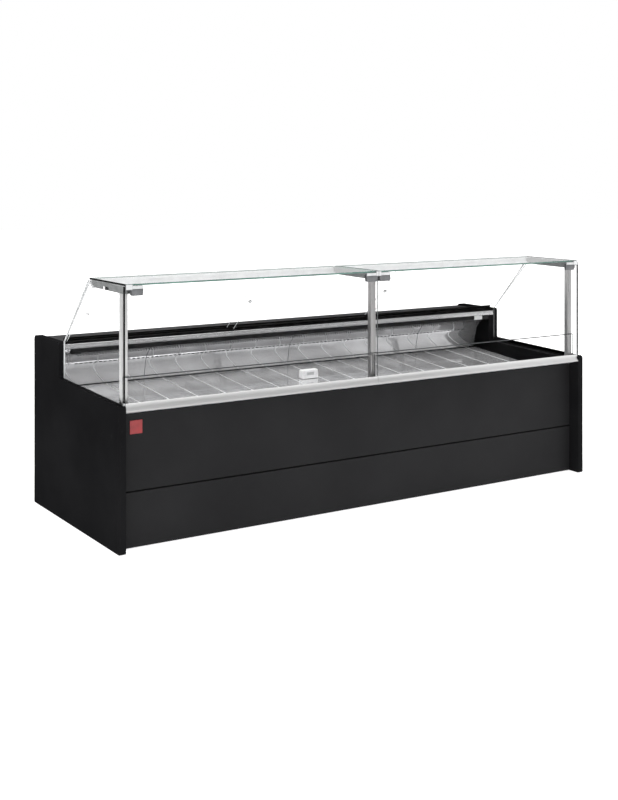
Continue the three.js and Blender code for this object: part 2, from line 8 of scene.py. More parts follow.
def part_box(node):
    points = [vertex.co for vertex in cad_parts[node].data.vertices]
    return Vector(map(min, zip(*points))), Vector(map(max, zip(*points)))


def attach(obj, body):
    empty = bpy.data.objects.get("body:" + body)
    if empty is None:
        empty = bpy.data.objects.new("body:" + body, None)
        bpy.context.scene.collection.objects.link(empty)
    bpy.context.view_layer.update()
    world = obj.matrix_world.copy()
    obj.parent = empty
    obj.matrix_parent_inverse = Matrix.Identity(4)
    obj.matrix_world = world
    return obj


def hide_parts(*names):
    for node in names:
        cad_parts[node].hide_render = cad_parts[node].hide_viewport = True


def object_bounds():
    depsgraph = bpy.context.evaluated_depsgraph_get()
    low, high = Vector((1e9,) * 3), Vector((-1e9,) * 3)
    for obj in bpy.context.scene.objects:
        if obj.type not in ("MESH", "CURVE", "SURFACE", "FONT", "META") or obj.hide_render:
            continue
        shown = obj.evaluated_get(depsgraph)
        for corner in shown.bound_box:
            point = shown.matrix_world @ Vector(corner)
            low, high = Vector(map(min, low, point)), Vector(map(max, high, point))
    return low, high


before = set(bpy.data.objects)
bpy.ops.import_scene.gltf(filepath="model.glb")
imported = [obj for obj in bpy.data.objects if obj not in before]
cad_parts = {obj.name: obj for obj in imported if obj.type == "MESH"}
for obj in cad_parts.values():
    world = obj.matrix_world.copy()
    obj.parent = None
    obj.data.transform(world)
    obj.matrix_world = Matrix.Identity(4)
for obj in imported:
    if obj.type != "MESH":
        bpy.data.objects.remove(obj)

# A refrigerated deli case. The sizes of its pieces are millimetres: x runs along the counter from its
# middle, "back" is the distance behind the front edge of the side panels, and "height" is above the
# floor. The studio round it is in metres.
MM = 0.001
cad_low, cad_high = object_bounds()
FRONT = cad_low.y
END = cad_high.x / MM


def span(node):
    """A CAD node's ranges as ((x0, x1), (back0, back1), (height0, height1)), in millimetres."""
    low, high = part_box(node)
    return (
        (low.x / MM, high.x / MM),
        ((low.y - FRONT) / MM, (high.y - FRONT) / MM),
        (low.z / MM, high.z / MM),
    )


INSIDE = span("front_panel_upper")[0][1]
LINER = span("inner_wall_right")[0][0]
SIDES = (("left", -1), ("right", 1))

# The deck rises from its front edge to its rear edge.
DECK_FRONT, DECK_REAR = 172, 905
DECK_FRONT_HEIGHT, DECK_REAR_HEIGHT = 589, 652

# Each post stands on a small base, and the front glass clips have covers.
POST_BASE_BACK = (51, 91)
POST_BASE_HEIGHT = (666.4, 671)
CLIP_COVER_HEIGHT = (1248, 1261.5)

# The side glasses slope forward at 45 degrees from this height at their rear edge.
SLOPE_FOOT = 917

# The sliding doors slope back and down from this top edge, in three lanes.
DOOR_TOP_BACK, DOOR_TOP_HEIGHT = 432, 1238
DOOR_RUN, DOOR_DROP = 354, 323
DOOR_LENGTH = math.hypot(DOOR_RUN, DOOR_DROP)
DOOR_LEAN = math.atan2(DOOR_RUN, DOOR_DROP)
DOOR_NORMAL = (0, math.cos(DOOR_LEAN), math.sin(DOOR_LEAN))
LANE_PITCH = 12
DOOR_LANES = (("left", -1), ("middle", 0), ("right", 1))
LANE_FINS = (-18, -6, 6, 18)

# Edges that turn more than this are sharp.
SHARP = math.radians(38)


# ---------------------------------------------------------------- mesh helpers


def place(x, back, height):
    """A point of the case in the scene's metres."""
    return Vector((x * MM, FRONT + back * MM, height * MM))


def prism(bm, outline, x0, x1):
    """A side-view outline of (back, height) corners, swept along the counter."""
    ends = [[bm.verts.new(place(x, *corner)) for corner in outline] for x in (x0, x1)]
    bm.faces.new(ends[0])
    bm.faces.new(reversed(ends[1]))
    for i in range(len(outline)):
        bm.faces.new((ends[0][i - 1], ends[1][i - 1], ends[1][i], ends[0][i]))


def slab(bm, x, back, height):
    """A box between two ends in each direction."""
    (b0, b1), (z0, z1) = back, height
    prism(bm, [(b0, z0), (b1, z0), (b1, z1), (b0, z1)], *x)


def rod(bm, start, end, radius, tip=None, sides=16):
    """A round bar between two points, tapering to the tip radius if one is given."""
    a, b = place(*start), place(*end)
    turn = (b - a).to_track_quat("Z", "Y").to_matrix().to_4x4()
    bmesh.ops.create_cone(
        bm,
        cap_ends=True,
        segments=sides,
        radius1=radius * MM,
        radius2=(radius if tip is None else tip) * MM,
        depth=(b - a).length,
        matrix=Matrix.Translation((a + b) / 2) @ turn,
    )


def torus(bm, centre, radius, wire, around, section):
    """A round wire ring whose axis lies along the depth of the case."""
    rings = []
    for i in range(around):
        turn = 2 * math.pi * i / around
        out = Vector((math.cos(turn), 0, math.sin(turn)))
        points = []
        for j in range(section):
            roll = 2 * math.pi * j / section
            offset = out * (radius + wire * math.cos(roll)) + Vector((0, wire * math.sin(roll), 0))
            points.append(bm.verts.new(place(*centre) + offset * MM))
        rings.append(points)
    for i in range(around):
        for j in range(section):
            a, b = rings[i - 1], rings[i]
            bm.faces.new((a[j - 1], b[j - 1], b[j], a[j]))


def piece(name, build, look, body="case", bevel=0.0, segments=2):
    """Makes one piece from build(bm), gives it its material and lets it ride on a body."""
    bm = bmesh.new()
    build(bm)
    bmesh.ops.recalc_face_normals(bm, faces=bm.faces)
    mesh = bpy.data.meshes.new(name)
    bm.to_mesh(mesh)
    bm.free()
    mesh.shade_smooth()
    mesh.set_sharp_from_angle(angle=SHARP)
    obj = bpy.data.objects.new(name, mesh)
    bpy.context.scene.collection.objects.link(obj)
    mesh.materials.append(look)
    if bevel:
        round_edges(obj, bevel, segments)
    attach(obj, body)
    return obj


def round_edges(obj, width, segments=2):
    rounding = obj.modifiers.new("rounded_edges", "BEVEL")
    rounding.width = width * MM
    rounding.segments = segments
    rounding.limit_method = "ANGLE"
    rounding.angle_limit = SHARP
    rounding.harden_normals = True


def pipe(name, points, radius, look):
    """A bent tube through (x, back, height) points, with rounded corners, that rides on the case."""
    curve = bpy.data.curves.new(name, "CURVE")
    curve.dimensions = "3D"
    curve.bevel_depth = radius * MM
    curve.bevel_resolution = 3
    curve.use_fill_caps = True
    line = curve.splines.new("BEZIER")
    line.bezier_points.add(len(points) - 1)
    for knot, point in zip(line.bezier_points, points):
        knot.co = place(*point)
        knot.handle_left_type = "AUTO"
        knot.handle_right_type = "AUTO"
    curve.materials.append(look)
    obj = bpy.data.objects.new(name, curve)
    bpy.context.scene.collection.objects.link(obj)
    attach(obj, "case")


# ---------------------------------------------------------------- material helpers


def tone(red, green, blue):
    """A colour given on the 0 to 255 screen scale, as the linear light that shaders use."""
    def linear(value):
        return value / 255 / 12.92 if value <= 10 else ((value / 255 + 0.055) / 1.055) ** 2.4

    return linear(red), linear(green), linear(blue), 1


def noise(tree, scale, stretch=(1, 1, 1), detail=3.0):
    """Noise from 0 to 1 in the piece's own coordinates, drawn out along an axis by a small stretch."""
    where = tree.nodes.new("ShaderNodeTexCoord")
    mapping = tree.nodes.new("ShaderNodeMapping")
    mapping.inputs["Scale"].default_value = stretch
    texture = tree.nodes.new("ShaderNodeTexNoise")
    texture.inputs["Scale"].default_value = scale
    texture.inputs["Detail"].default_value = detail
    tree.links.new(where.outputs["Object"], mapping.inputs["Vector"])
    tree.links.new(mapping.outputs["Vector"], texture.inputs["Vector"])
    return texture.outputs["Fac"]


def blend_colours(tree, source, low, high, start=0.35, stop=0.65):
    """A colour that goes from low to high as the source goes from start to stop."""
    ramp = tree.nodes.new("ShaderNodeValToRGB")
    ramp.color_ramp.elements[0].position = start
    ramp.color_ramp.elements[0].color = low
    ramp.color_ramp.elements[1].position = stop
    ramp.color_ramp.elements[1].color = high
    tree.links.new(source, ramp.inputs["Fac"])
    return ramp.outputs["Color"]


def remap(tree, source, low, high):
    """The middle of a noise's range, stretched to run from low to high."""
    node = tree.nodes.new("ShaderNodeMapRange")
    node.inputs["From Min"].default_value = 0.3
    node.inputs["From Max"].default_value = 0.7
    node.inputs["To Min"].default_value = low
    node.inputs["To Max"].default_value = high
    tree.links.new(source, node.inputs["Value"])
    return node.outputs["Result"]


def surface(name, low, high, roughness, metallic=0.0, patch=5.0, stretch=(1, 1, 1),
            grain=900.0, relief=0.05, specular=0.5, coat=0.0):
    """A patterned solid surface: two tones in soft patches, a roughness range, and a fine grain."""
    material = bpy.data.materials.new(name)
    material.use_nodes = True
    tree = material.node_tree
    shader = tree.nodes["Principled BSDF"]
    patches = noise(tree, patch, stretch)
    tree.links.new(blend_colours(tree, patches, low, high), shader.inputs["Base Color"])
    tree.links.new(remap(tree, noise(tree, patch * 3, stretch), *roughness), shader.inputs["Roughness"])
    if relief:
        bump = tree.nodes.new("ShaderNodeBump")
        bump.inputs["Strength"].default_value = relief
        bump.inputs["Distance"].default_value = 0.0004
        tree.links.new(noise(tree, grain, stretch), bump.inputs["Height"])
        tree.links.new(bump.outputs["Normal"], shader.inputs["Normal"])
    shader.inputs["Metallic"].default_value = metallic
    shader.inputs["Specular IOR Level"].default_value = specular
    shader.inputs["Coat Weight"].default_value = coat
    return material


def glass(name, through, tint, shine_level, edge_low, edge_high):
    """Clear glass: faces that look along the through direction are see-through, and cut edges are solid.

    The shine level is how much of the pane's own reflection is kept on its outer faces.
    """
    material = bpy.data.materials.new(name)
    material.use_nodes = True
    tree = material.node_tree
    edge = tree.nodes["Principled BSDF"]
    edge.inputs["Roughness"].default_value = 0.12
    edge_colour = blend_colours(tree, noise(tree, 9), edge_low, edge_high)
    tree.links.new(edge_colour, edge.inputs["Base Color"])

    clear = tree.nodes.new("ShaderNodeBsdfTransparent")
    clear_colour = blend_colours(tree, noise(tree, 2), tint, (1, 1, 1, 1), 0.2, 1.4)
    tree.links.new(clear_colour, clear.inputs["Color"])
    shine = tree.nodes.new("ShaderNodeBsdfAnisotropic")
    shine.inputs["Color"].default_value = (1, 1, 1, 1)
    shine.inputs["Roughness"].default_value = 0.03
    fresnel = tree.nodes.new("ShaderNodeFresnel")
    fresnel.inputs["IOR"].default_value = 1.4
    side_seen = tree.nodes.new("ShaderNodeNewGeometry")
    outer_only = tree.nodes.new("ShaderNodeMapRange")
    outer_only.inputs["To Min"].default_value = shine_level
    outer_only.inputs["To Max"].default_value = 0
    tree.links.new(side_seen.outputs["Backfacing"], outer_only.inputs["Value"])
    amount = tree.nodes.new("ShaderNodeMath")
    amount.operation = "MULTIPLY"
    tree.links.new(fresnel.outputs["Fac"], amount.inputs[0])
    tree.links.new(outer_only.outputs["Result"], amount.inputs[1])
    pane = tree.nodes.new("ShaderNodeMixShader")
    tree.links.new(amount.outputs["Value"], pane.inputs["Fac"])
    tree.links.new(clear.outputs["BSDF"], pane.inputs[1])
    tree.links.new(shine.outputs["BSDF"], pane.inputs[2])

    where = tree.nodes.new("ShaderNodeTexCoord")
    along = tree.nodes.new("ShaderNodeVectorMath")
    along.operation = "DOT_PRODUCT"
    along.inputs[1].default_value = through
    tree.links.new(where.outputs["Normal"], along.inputs[0])
    size = tree.nodes.new("ShaderNodeMath")
    size.operation = "ABSOLUTE"
    tree.links.new(along.outputs["Value"], size.inputs[0])
    facing = tree.nodes.new("ShaderNodeMath")
    facing.operation = "GREATER_THAN"
    facing.inputs[1].default_value = 0.8
    tree.links.new(size.outputs["Value"], facing.inputs[0])
    both = tree.nodes.new("ShaderNodeMixShader")
    tree.links.new(facing.outputs["Value"], both.inputs["Fac"])
    tree.links.new(edge.outputs["BSDF"], both.inputs[1])
    tree.links.new(pane.outputs["Shader"], both.inputs[2])
    tree.links.new(both.outputs["Shader"], tree.nodes["Material Output"].inputs["Surface"])
    return material


# ---------------------------------------------------------------- materials

BRUSHED_X = (0.03, 1, 1)
BRUSHED_Z = (1, 1, 0.03)

black_panel = surface("black_coated_panel", tone(20, 20, 21), tone(25, 25, 26), (0.5, 0.6),
                      patch=2.5, grain=1400, relief=0.04, specular=0.0)
charcoal_panel = surface("charcoal_coated_panel", tone(27, 27, 28), tone(32, 32, 33), (0.45, 0.55),
                         patch=1.6, grain=1400, relief=0.04, specular=0.05)
wall_black = surface("black_liner", tone(13, 13, 14), tone(18, 18, 19), (0.5, 0.65), grain=800,
                     relief=0.05, specular=0.03)
black_plastic = surface("black_plastic", tone(18, 18, 19), tone(26, 26, 27), (0.45, 0.62), patch=30,
                        grain=1800, relief=0.08, specular=0.15)
rubber = surface("black_rubber", tone(12, 12, 12), tone(20, 20, 20), (0.7, 0.85), patch=25,
                 grain=2200, relief=0.1, specular=0.08)
# Painted reflection: the grey line along the crest of each deflector glass.
deflector_reflection_line = surface("deflector_edge_painted_reflection", tone(62, 63, 64), tone(76, 77, 78), (0.4, 0.55),
                         patch=25, relief=0, specular=0.0)
light_plastic = surface("light_grey_plastic", tone(176, 177, 178), tone(194, 195, 196), (0.35, 0.5),
                        patch=25, grain=1500, relief=0.03)
mid_plastic = surface("mid_grey_plastic", tone(80, 81, 83), tone(98, 99, 101), (0.4, 0.55), patch=25,
                      grain=1500, relief=0.03, specular=0.3)
white_plastic = surface("white_plastic", tone(222, 222, 223), tone(238, 238, 238), (0.3, 0.42),
                        patch=25, grain=1500, relief=0.02)
foam_shell = surface("galvanised_skin", tone(176, 178, 181), tone(202, 204, 207), (0.35, 0.55),
                     metallic=0.6, patch=22, grain=400, relief=0.02)
galvanised = surface("galvanised_steel", tone(150, 153, 157), tone(190, 193, 197), (0.32, 0.55),
                     metallic=0.9, patch=45, grain=500, relief=0.03)
stainless = surface("stainless_deck", tone(196, 196, 197), tone(224, 224, 225), (0.04, 0.11),
                    metallic=0.65, patch=7, stretch=(1, 0.05, 1), relief=0)
polished = surface("polished_stainless", tone(198, 198, 199), tone(222, 222, 223), (0.02, 0.06),
                   metallic=0.75, patch=9, stretch=BRUSHED_X, relief=0)
# Painted highlight: a light, barely metallic steel for the strips in the deck joints.
painted_joint_highlight = surface("deck_joint_painted_highlight", tone(214, 215, 216), tone(230, 231, 232), (0.3, 0.4),
                     metallic=0.2, patch=9, relief=0)
nose_steel = surface("bright_nose_steel", tone(140, 140, 141), tone(160, 160, 161), (0.2, 0.3),
                     metallic=0.8, patch=9, stretch=BRUSHED_X, relief=0)
aluminium_x = surface("satin_aluminium_along", tone(192, 192, 192), tone(210, 210, 210), (0.28, 0.38),
                      metallic=1.0, patch=14, stretch=BRUSHED_X, grain=1200, relief=0.01)
aluminium_z = surface("satin_aluminium_upright", tone(150, 150, 150), tone(170, 170, 170), (0.26, 0.36),
                      metallic=1.0, patch=14, stretch=BRUSHED_Z, grain=1200, relief=0.01)
# Painted shade: a darker copy of the upright aluminium, for the middle post.
shaded_middle_post_aluminium = surface("middle_post_satin_aluminium_painted_shade", tone(128, 127, 127), tone(146, 145, 145),
                           (0.26, 0.36), metallic=1.0, patch=14, stretch=BRUSHED_Z, grain=1200,
                           relief=0.01)
aluminium_arm = surface("grey_aluminium_arm", tone(88, 90, 90), tone(108, 110, 110), (0.3, 0.42),
                        metallic=0.8, patch=14, grain=1200, relief=0.01)
dark_top = surface("dark_worktop", tone(34, 34, 35), tone(42, 42, 43), (0.5, 0.6), patch=12,
                   grain=900, relief=0.03, specular=0.01)
coil_fins = surface("coil_fins", tone(120, 122, 125), tone(206, 208, 211), (0.3, 0.5), metallic=0.9,
                    patch=180, stretch=(1, 0.05, 0.02), grain=900, relief=0.2)
casting_black = surface("black_enamel", tone(16, 16, 17), tone(26, 26, 27), (0.22, 0.4), patch=14,
                        grain=500, relief=0.12, coat=0.3)
copper = surface("copper_tube", tone(168, 98, 66), tone(206, 132, 96), (0.22, 0.42), metallic=1.0,
                 patch=40, grain=900, relief=0.05)
red_enamel = surface("red_enamel", tone(124, 14, 18), tone(138, 20, 24), (0.3, 0.4), patch=40,
                     grain=1500, relief=0.04)
display_black = surface("display_window", tone(8, 9, 10), tone(14, 15, 17), (0.06, 0.12), patch=30,
                        grain=900, relief=0.01, coat=0.5)
steel_screw = surface("screw_steel", tone(150, 152, 155), tone(188, 190, 193), (0.25, 0.4), metallic=1.0,
                      patch=200, grain=2500, relief=0.05)
hole_black = surface("hole_shadow", tone(20, 21, 22), tone(36, 37, 38), (0.5, 0.7), patch=60, grain=1500,
                     relief=0.05)

# Each pane's cut edges are a blend of two tones; the far side glass gets a darker copy of the side
# glass's edge tones, which is painted shade. Only the top glass keeps its own reflection.
GREEN_EDGE = (tone(58, 88, 80), tone(80, 112, 103))
GREY_EDGE = (tone(84, 86, 86), tone(106, 108, 108))
SHADED_SIDE_GLASS_EDGE = (tone(40, 42, 42), tone(56, 58, 58))
PALE_EDGE = (tone(168, 171, 171), tone(198, 200, 200))
top_pane = glass("top_glass", (0, 0, 1), tone(251, 252, 252), 0.7, *GREEN_EDGE)
front_pane = glass("front_glass", (0, 1, 0), tone(253, 253, 253), 0, *GREY_EDGE)
# Painted shade: the same side glass, with darker edge tones for the far side.
shaded_side_pane = glass("side_glass_painted_shade_edges", (1, 0, 0), tone(253, 253, 253), 0, *SHADED_SIDE_GLASS_EDGE)
side_pane = glass("side_glass", (1, 0, 0), tone(253, 253, 253), 0, *PALE_EDGE)
door_pane = glass("rear_door_acrylic", DOOR_NORMAL, tone(253, 253, 253), 0, *PALE_EDGE)

CAD_LOOKS = (
    (black_panel, "side_panel_left side_panel_right rear_panel machine_grille storage_door_left "
                  "storage_door_right"),
    (charcoal_panel, "front_panel_upper front_panel_lower"),
    (wall_black, "inner_wall_left inner_wall_right"),
    # The display lamp is in the black plastic: painted shade for the dark band under the worktop nose.
    (black_plastic, "front_grille cable_gland control_panel evaporator_fan_left evaporator_fan_right "
                    "foot_front_left foot_front_middle foot_front_right foot_rear_left foot_rear_middle "
                    "foot_rear_right display_lamp"),
    (foam_shell, "insulated_tub storage_cabinet"),
    (galvanised, "base_frame condensate_tray"),
    (polished, "back_wall"),
    (nose_steel, "worktop_nose"),
    (stainless, "display_deck_left display_deck_right"),
    (dark_top, "worktop"),
    (light_plastic, "power_button door_top_track"),
    (mid_plastic, "glass_clip_left_outer glass_clip_left_inner glass_clip_right_outer "
                  "glass_clip_right_inner"),
    (aluminium_x, "front_trim_left front_trim_right"),
    (aluminium_arm, "top_arm_left top_arm_middle top_arm_right"),
    (aluminium_z, "post_left post_right"),
    # The middle post gets the darker copy of the upright aluminium, as painted shade.
    (shaded_middle_post_aluminium, "post_middle"),
    (coil_fins, "evaporator condenser"),
    (casting_black, "compressor condenser_fan"),
    (top_pane, "top_glass_left top_glass_right"),
    (front_pane, "front_glass_left front_glass_right deflector_glass_left deflector_glass_right"),
    (side_pane, "side_glass_left"),
    # The far side glass takes the darker edge copy, as painted shade.
    (shaded_side_pane, "side_glass_right"),
    (door_pane, "rear_door_left rear_door_middle rear_door_right"),
)
EDGE_ROUNDING = {
    "side_panel_left": 2.5, "side_panel_right": 2.5, "worktop": 1.0, "worktop_nose": 1.0,
    "front_trim_left": 0.8, "front_trim_right": 0.8, "storage_door_left": 1.5, "storage_door_right": 1.5,
    "control_panel": 1.5, "storage_cabinet": 1.0, "base_frame": 1.5, "post_left": 0.6, "post_middle": 0.6,
    "post_right": 0.6, "top_arm_left": 0.8, "top_arm_middle": 0.8, "top_arm_right": 0.8,
    "top_glass_left": 0.7, "top_glass_right": 0.7,
}


def dress_cad_nodes():
    """Gives every CAD node its material, and rounds the sharp edges of the larger ones."""
    for look, names in CAD_LOOKS:
        for name in names.split():
            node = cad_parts[name]
            node.data.materials.clear()
            node.data.materials.append(look)
            if "custom_normal" in node.data.attributes:
                node.data.attributes.remove(node.data.attributes["custom_normal"])
            node.data.shade_smooth()
            weld = node.modifiers.new("weld", "WELD")
            weld.merge_threshold = 0.00001
            if name in EDGE_ROUNDING:
                round_edges(node, EDGE_ROUNDING[name])
            else:
                split = node.modifiers.new("sharp_edges", "EDGE_SPLIT")
                split.split_angle = SHARP


# ---------------------------------------------------------------- display well


def deck_plates():
    """The stainless deck is laid in plates with rounded edges, and a light strip in each joint between
    them is a painted highlight for the light that the rounded edges catch.
    """
    pitch = 168.0
    gap = 5.0
    thickness = 8.0
    outer = span("display_deck_right")[0][1]
    front, rear = span("display_deck_left")[1]
    joints = [i * pitch for i in range(int(outer / pitch) + 1)]

    def plates(side):
        def build(bm):
            outline = [
                (front, DECK_FRONT_HEIGHT - thickness),
                (rear, DECK_REAR_HEIGHT - thickness),
                (rear, DECK_REAR_HEIGHT),
                (front, DECK_FRONT_HEIGHT),
            ]
            for x0, x1 in zip(joints, joints[1:] + [outer + gap / 2]):
                ends = sorted((side * (x0 + gap / 2), side * (x1 - gap / 2)))
                prism(bm, outline, *ends)

        return build

    # The strips in the joints are light, to paint the highlight along the rounded plate edges.
    def strips(bm):
        outline = [
            (front + 3, DECK_FRONT_HEIGHT - 4),
            (rear - 3, DECK_REAR_HEIGHT - 4),
            (rear - 3, DECK_REAR_HEIGHT - 0.1),
            (front + 3, DECK_FRONT_HEIGHT + 0.2),
        ]
        for x in sorted({side * x for x in joints for side in (-1, 1)}):
            prism(bm, outline, x - gap / 2 + 0.1, x + gap / 2 - 0.1)

    piece("deck_joint_light_strips", strips, painted_joint_highlight)
    for name, side in SIDES:
        obj = piece(f"deck_plates_{name}", plates(side), stainless, bevel=3.6,
                    segments=4)
        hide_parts(f"display_deck_{name}")


def wall_point(x, height):
    """Where the front of the curved back wall is at this x and height, and which way it faces."""
    start = Vector((x * MM, FRONT + 0.3, height * MM))
    hit, point, normal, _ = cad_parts["back_wall"].ray_cast(start, Vector((0, 1, 0)))
    return (point, normal) if hit else (None, None)


def air_holes():
    """Rows of small air holes across the upper back wall, and one row of slots under them."""
    half = LINER - 60
    hole_heights = (850, 841, 832, 823)
    slot_height = 774
    slot_half_width, slot_half_height = 9, 2.4

    def round_holes(bm):
        pitch = 16.0
        count = int(2 * half / pitch)
        for row, height in enumerate(hole_heights):
            point, normal = wall_point(0, height)
            turn = normal.to_track_quat("Z", "X").to_matrix().to_4x4()
            for i in range(count):
                x = -half + (i + 0.5 * (row % 2)) * pitch
                centre = Vector((x * MM, point.y, point.z))
                bmesh.ops.create_cone(bm, cap_ends=True, segments=8, radius1=0.0045, radius2=0.0042,
                                      depth=0.0008, matrix=Matrix.Translation(centre) @ turn)

    def slots(bm):
        pitch = 28.0
        count = int(2 * half / pitch)
        point, normal = wall_point(0, slot_height)
        up = Vector((0, -normal.z, normal.y)).normalized()
        for i in range(count):
            centre = Vector(((-half + (i + 0.5) * pitch) * MM, point.y, point.z))
            corners = []
            for out in (-0.0003, 0.0004):
                for right, above in ((-1, -1), (1, -1), (1, 1), (-1, 1)):
                    across = Vector((right * slot_half_width * MM, 0, 0))
                    upward = up * (above * slot_half_height) * MM
                    corners.append(bm.verts.new(centre + across + upward + normal * out))
            bm.faces.new(corners[3::-1])
            bm.faces.new(corners[4:])
            for a, b in ((0, 1), (1, 2), (2, 3), (3, 0)):
                bm.faces.new((corners[a], corners[b], corners[b + 4], corners[a + 4]))

    piece("air_holes", round_holes, hole_black)
    piece("air_slots", slots, hole_black)


def wall_seams():
    """Upright joints where the lengths of the back wall meet."""
    seams = (-945, -12, 945)
    foot, head = 662, 846
    steps = 26

    def build(bm):
        for x in seams:
            rows = []
            for k in range(steps + 1):
                height = foot + (head - foot) * k / steps
                point, normal = wall_point(x, height)
                if point is None:
                    continue
                rows.append([
                    bm.verts.new(point + Vector((dx * MM, 0, 0)) + normal * out)
                    for dx, out in ((-1.2, -0.0003), (1.2, -0.0003), (1.2, 0.0005), (-1.2, 0.0005))
                ])
            bm.faces.new(rows[0])
            bm.faces.new(reversed(rows[-1]))
            for a, b in zip(rows[:-1], rows[1:]):
                for i in range(4):
                    bm.faces.new((a[i - 1], b[i - 1], b[i], a[i]))

    piece("back_wall_seams", build, hole_black)


def lamp_holders():
    """The lamp's ends: a dark holder against the liner, and a light sleeve over the tube's right end."""
    (_, end), (back0, back1), (low, high) = span("display_lamp")
    for name, side in SIDES:
        holder = sorted((side * (end - 33), side * (LINER - 1.5)))
        piece(f"lamp_holder_{name}",
              lambda bm: slab(bm, holder, (back0 - 3, back1 + 3), (low - 3, high + 0.1)),
              black_plastic, bevel=2)
    sleeve = (end - 99, end - 34)
    piece("lamp_sleeve",
          lambda bm: slab(bm, sleeve, (back0 - 1.5, back1 + 1.5), (low - 1.5, high + 0.1)),
          light_plastic, bevel=2)


def thermometer():
    """A plain white thermometer that stands on the deck."""
    x0, x1 = -125, -18
    back = 566
    tall = 52
    rise = (DECK_REAR_HEIGHT - DECK_FRONT_HEIGHT) * (back - DECK_FRONT) / (DECK_REAR - DECK_FRONT)
    deck = DECK_FRONT_HEIGHT + rise
    top = deck + tall
    outline = [(back, deck + 1.2), (back + 44, deck + 5), (back + 40, top), (back + 6, top)]

    def case(bm):
        prism(bm, outline, x0, x1)

    def window(bm):
        slab(bm, (x0 + 30, x1 - 30), (back + 2.4, back + 6), (deck + 16, deck + 38))

    piece("thermometer", case, white_plastic, bevel=5, segments=4)
    piece("thermometer_window", window, light_plastic, bevel=1)


# ---------------------------------------------------------------- glass and its fittings


def glass_fittings():
    """The edge strip, seal, clamp, cushion and post base at each end of the case."""
    (top_outer, _), (top_front, top_rear), (top_low, top_high) = span("top_glass_left")
    (side_outer, side_inner), (side_front, _), (_, side_top) = span("side_glass_left")
    arm_outer = span("top_arm_left")[0][0]
    for name, side in SIDES:
        edge = sorted((-side * top_outer, side * (2.2 - top_outer)))
        piece(f"top_glass_edge_{name}",
              lambda bm: slab(bm, edge, (top_front, top_rear), (top_low + 0.2, top_high + 0.6)),
              rubber, bevel=0.6)
        seal = sorted((-side * (side_inner + 0.8), -side * (side_outer - 0.8)))
        piece(f"side_glass_seal_{name}",
              lambda bm: slab(bm, seal, (side_front - 3, side_front - 0.2), (712, side_top - 1)),
              rubber, bevel=0.8)
        gap = sorted((-side * (arm_outer - 0.2), -side * (side_inner + 0.2)))
        piece(f"side_glass_clamp_{name}", lambda bm: slab(bm, gap, (220, 249), (1227, 1242)),
              black_plastic, bevel=0.8)
        piece(f"side_glass_cushion_{name}", lambda bm: slab(bm, gap, (250, 268), (1227, 1243)),
              white_plastic, bevel=0.8)
        base = sorted((-side * (arm_outer + 35), -side * (arm_outer - 0.8)))
        piece(f"post_base_{name}", lambda bm: slab(bm, base, POST_BASE_BACK, POST_BASE_HEIGHT),
              aluminium_x, bevel=1)


def glass_edge_highlights():
    """Thin strips that keep the edges of the side, top and deflector glasses visible from afar: the light
    strips on the side and top glasses are painted highlights, and the grey line along the deflector's
    crest is a painted reflection.
    """
    for name, _ in SIDES:
        (x0, x1), (_, rear), (_, top) = span(f"side_glass_{name}")
        low, high = SLOPE_FOOT + 1, top - 8
        foot, head = rear + SLOPE_FOOT - low, rear + SLOPE_FOOT - high
        slope = [(foot + 0.3, low), (foot - 4, low), (head - 4, high), (head + 0.3, high)]
        # Light strip on the sloping edge of the side glass: painted highlight.
        piece(f"sloping_glass_edge_highlight_{name}", lambda bm: prism(bm, slope, x0 - 0.2, x1 + 0.2),
              light_plastic, bevel=0.3)
        top_ends, (_, top_rear), (top_low, top_high) = span(f"top_glass_{name}")
        # White strip on the top glass's rear edge: painted highlight.
        piece(f"top_glass_rear_highlight_{name}",
              lambda bm: slab(bm, top_ends, (top_rear + 0.1, top_rear + 1.4), (top_low - 0.2, top_high)),
              white_plastic, bevel=0.3)
        (d0, d1), (front, back), (_, crest) = span(f"deflector_glass_{name}")
        line = (d0 + 8, d1 - 8)
        # Grey line on the deflector's crest: painted reflection.
        piece(f"deflector_edge_{name}",
              lambda bm: slab(bm, line, (front - 0.3, back + 0.3), (crest - 4.5, crest + 0.3)),
              deflector_reflection_line, bevel=0.3)


def middle_post_base():
    piece("post_base_middle", lambda bm: slab(bm, (-19, 19), POST_BASE_BACK, POST_BASE_HEIGHT),
          aluminium_x, bevel=1)


def clip_covers():
    """Light covers on the front of the clips: a bar along the pane's top edge, and a cap at one end."""
    for name, side in SIDES:
        for end in ("outer", "inner"):
            (x0, x1), (front, _), (_, high) = span(f"glass_clip_{name}_{end}")
            at_low = (side < 0) == (end == "outer")
            wide = 33 if end == "outer" else 15
            cap = (x0 + 0.3, x0 + wide) if at_low else (x1 - wide, x1 - 0.3)

            def build(bm):
                slab(bm, (x0 + 0.5, x1 - 0.5), (front + 0.2, front + 2.4), CLIP_COVER_HEIGHT)
                slab(bm, cap, (front - 0.8, front + 0.4), (1246, high - 0.4))

            piece(f"clip_cover_{name}_{end}", build, light_plastic, body=f"front_window_{name}",
                  bevel=0.3)


def door_point(x, along, off):
    """A point on a sloping door: along runs down from its top edge, and off is out of its plane."""
    back = DOOR_TOP_BACK + along * math.sin(DOOR_LEAN) + off * math.cos(DOOR_LEAN)
    height = DOOR_TOP_HEIGHT - along * math.cos(DOOR_LEAN) + off * math.sin(DOOR_LEAN)
    return x, back, height


